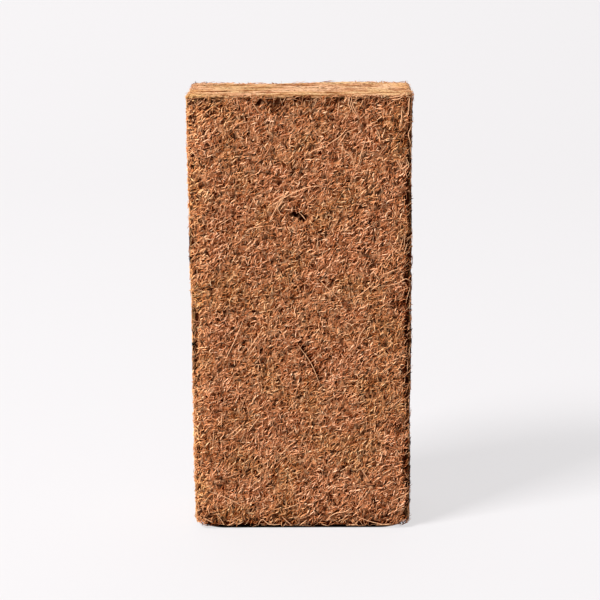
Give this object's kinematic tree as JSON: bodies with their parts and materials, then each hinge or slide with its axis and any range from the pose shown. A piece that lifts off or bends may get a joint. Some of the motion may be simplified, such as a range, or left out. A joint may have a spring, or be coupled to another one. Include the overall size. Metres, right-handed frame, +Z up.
{
  "type": "compressed coconut coir bale",
  "caption": "Upright rectangular block of compressed coconut husk pith and fibre, with rounded corners and rough faces; swells into growing medium when soaked.",
  "frame": {"origin": "middle of the flat foot, at floor level", "axes": "+Z up along the height, +X to the right across the wide face, +Y away from the wide face seen in front, through the thickness"},
  "size_m": [0.1, 0.05, 0.2],
  "materials": {
    "pressed_coir": "matte pressed husk pith and bristle, rough and fibrous"
  },
  "bodies": {
    "root": {"coir_bale": "pressed_coir"}
  },
  "joints": []
}
